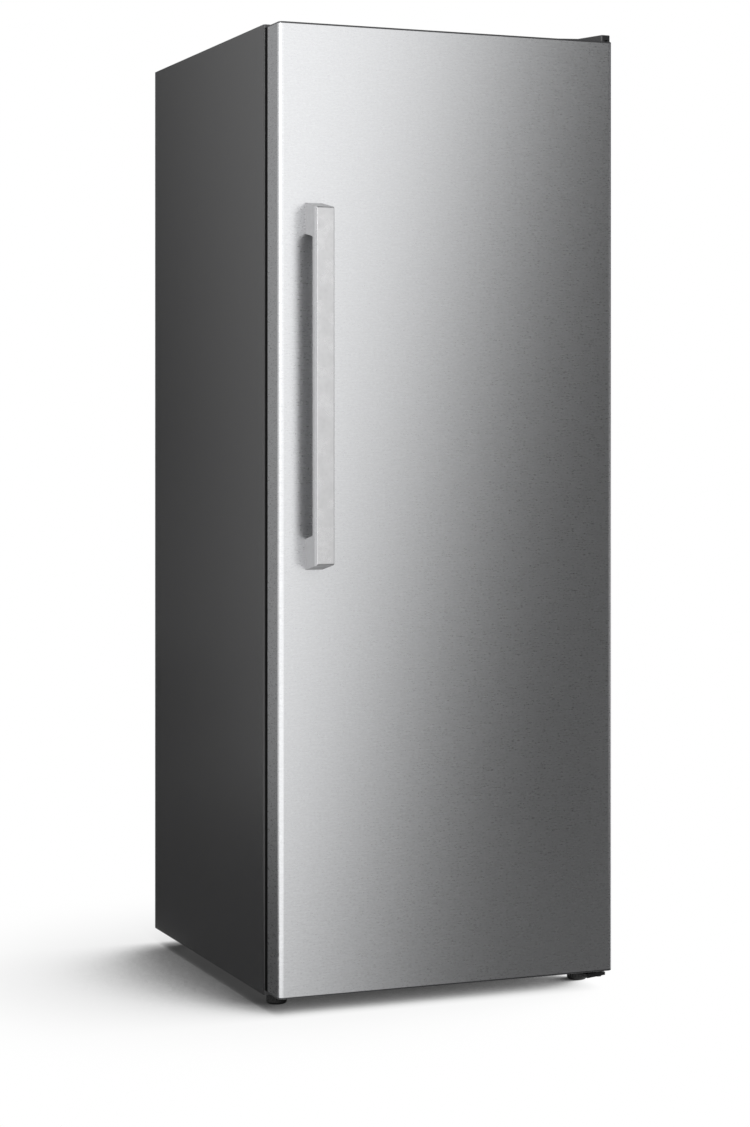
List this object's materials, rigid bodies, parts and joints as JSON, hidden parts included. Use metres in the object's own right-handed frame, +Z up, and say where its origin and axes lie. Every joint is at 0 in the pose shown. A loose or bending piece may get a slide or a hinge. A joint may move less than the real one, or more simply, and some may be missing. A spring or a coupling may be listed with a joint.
{
  "type": "upright freezer",
  "caption": "Upright freezer: foamed cabinet with a right-hinged stainless door, bar handle, wire shelves, bin, door racks, levelling feet and rear compressor bay.",
  "frame": {"origin": "centre of the bounding box footprint, on the floor under the feet", "axes": "+Z up; +X to the viewer's right, towards the hinge side; the door faces -Y and +Y is towards the wall"},
  "size_m": [0.6, 0.732, 1.617],
  "materials": {
    "cabinet_paint": "satin dark grey paint",
    "bare_steel": "zinc-coated sheet",
    "black_steel": "black powder coat",
    "fasteners": "zinc-plated",
    "liner_white": "formed white plastic sheet",
    "foam": "rigid foam, cream",
    "wire_coating": "white epoxy-coated wire",
    "white_plastic": "fine moulded grain",
    "clear_tray": "translucent frosted",
    "lamp_lens": "frosted lens",
    "coil": "mill finish",
    "motor": "black moulding",
    "compressor_paint": "black enamel",
    "copper": "bare copper",
    "condenser_steel": "coated steel tube",
    "black_rubber": "matt",
    "foot_plastic": "black moulding",
    "cap_plastic": "dark grey moulding",
    "stainless": "fine brushed",
    "handle_satin": "satin"
  },
  "bodies": {
    "cabinet": {"outer_shell": "cabinet_paint", "back_panel": "bare_steel", "base_pan": "bare_steel", "front_rail": "black_steel", "inner_liner": "liner_white", "insulation_foam": "foam", "wire_shelf_1": "wire_coating", "wire_shelf_2": "wire_coating", "wire_shelf_3": "wire_coating", "wire_shelf_4": "wire_coating", "wire_shelf_5": "wire_coating", "shelf_clips": "white_plastic", "freezer_bin": "clear_tray", "duct_cover": "white_plastic", "evaporator_fins": "coil", "evaporator_tube": "coil", "defrost_heater": "coil", "drain_trough": "white_plastic", "fan_motor": "motor", "control_housing": "white_plastic", "lamp_lens": "lamp_lens", "compressor_plate": "bare_steel", "compressor": "compressor_paint", "compressor_grommets": "black_rubber", "terminal_cover": "motor", "drip_pan": "motor", "filter_dryer": "copper", "capillary_tube": "copper", "condenser_tube": "condenser_steel", "suction_line": "copper", "rear_cover": "bare_steel", "cover_screws": "fasteners", "cord_gland": "black_rubber", "roller_brackets": "bare_steel", "roller_axles": "fasteners", "upper_hinge": "black_steel", "hinge_cover": "cap_plastic", "lower_hinge": "black_steel", "hinge_screws": "fasteners"},
    "door": {"door_panel": "stainless", "door_cap_top": "cap_plastic", "door_cap_bottom": "cap_plastic", "door_liner": "liner_white", "door_foam": "foam", "door_gasket": "black_rubber", "hinge_bushes": "foot_plastic", "door_rack_1": "clear_tray", "door_rack_2": "clear_tray", "door_rack_3": "clear_tray", "door_rack_4": "clear_tray", "handle_body": "handle_satin", "handle_trim": "handle_satin", "handle_screws": "fasteners"},
    "evaporator_fan": {"fan_blade": "white_plastic"},
    "dial": {"thermostat_dial": "white_plastic"},
    "button": {"fast_freeze_button": "white_plastic"},
    "roller_left": {"roller_left": "foot_plastic"},
    "roller_right": {"roller_right": "foot_plastic"},
    "foot_left": {"foot_left": "foot_plastic"},
    "foot_right": {"foot_right": "foot_plastic"}
  },
  "joints": [
    {"name": "door_swing", "type": "hinge", "parent": "cabinet", "child": "door", "pos_m": [0.286, -0.284, 0.8], "axis": [0, 0, 1], "range_deg": [0, 130]},
    {"name": "dial_turn", "type": "hinge", "parent": "cabinet", "child": "dial", "pos_m": [-0.055, -0.217, 1.529], "axis": [0, 1, 0], "range_deg": [0, 270]},
    {"name": "fast_freeze_press", "type": "slide", "parent": "cabinet", "child": "button", "axis": [0, 1, 0], "range_m": [0, 0.002], "stiffness_N_per_m": 400},
    {"name": "evaporator_fan_spin", "type": "hinge", "parent": "cabinet", "child": "evaporator_fan", "pos_m": [0, 0.262, 0.69], "axis": [0, 1, 0], "continuous": true},
    {"name": "foot_left_turn", "type": "hinge", "parent": "cabinet", "child": "foot_left", "pos_m": [-0.262, -0.194, 0.02], "axis": [0, 0, 1], "continuous": true},
    {"name": "foot_right_turn", "type": "hinge", "parent": "cabinet", "child": "foot_right", "pos_m": [0.282, -0.212, 0.02], "axis": [0, 0, 1], "continuous": true},
    {"name": "roller_left_spin", "type": "hinge", "parent": "cabinet", "child": "roller_left", "pos_m": [-0.248, 0.311, 0.019], "axis": [1, 0, 0], "continuous": true},
    {"name": "roller_right_spin", "type": "hinge", "parent": "cabinet", "child": "roller_right", "pos_m": [0.248, 0.311, 0.019], "axis": [1, 0, 0], "continuous": true}
  ]
}
